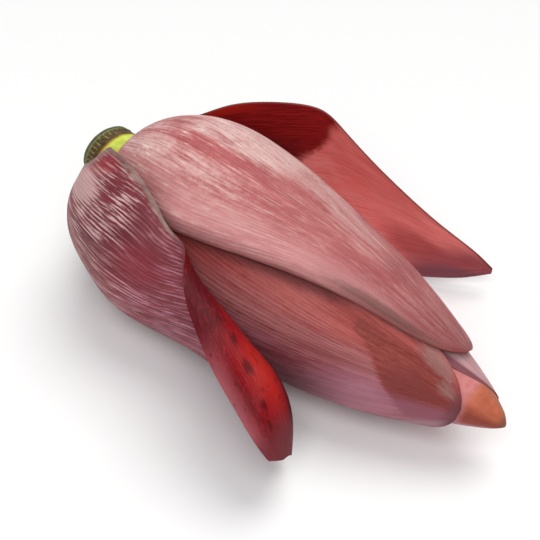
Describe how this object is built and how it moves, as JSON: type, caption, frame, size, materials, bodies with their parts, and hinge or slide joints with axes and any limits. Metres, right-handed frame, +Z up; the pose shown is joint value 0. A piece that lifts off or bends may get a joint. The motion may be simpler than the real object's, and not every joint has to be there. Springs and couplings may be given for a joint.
{
  "type": "banana blossom",
  "caption": "Cut banana flower head lying on its side: pointed bud in waxy red-purple bracts, the front bract rolled open, the back bract spread, with a short cut stem",
  "frame": {"origin": "on the plane the head rests on, under the middle of its box in plan", "axes": "+Z up; +X along the bud from its cut stem to its tip; -Y towards the loose bract with the rolled margin"},
  "size_m": [0.2592, 0.188, 0.1005],
  "materials": {
    "bract_outside": "satin",
    "bract_bloom": "waxy bloom",
    "bract_low_outside": "satin",
    "bract_inside": "satin",
    "bud_tip": "satin",
    "stem_skin": "matt"
  },
  "bodies": {
    "root": {"bract_back": "bract_inside", "bract_front": "bract_outside", "bract_inner": "bract_bloom", "bract_low": "bract_low_outside", "bract_top": "bract_bloom", "inner_bud": "bud_tip", "peduncle": "stem_skin"}
  },
  "joints": []
}
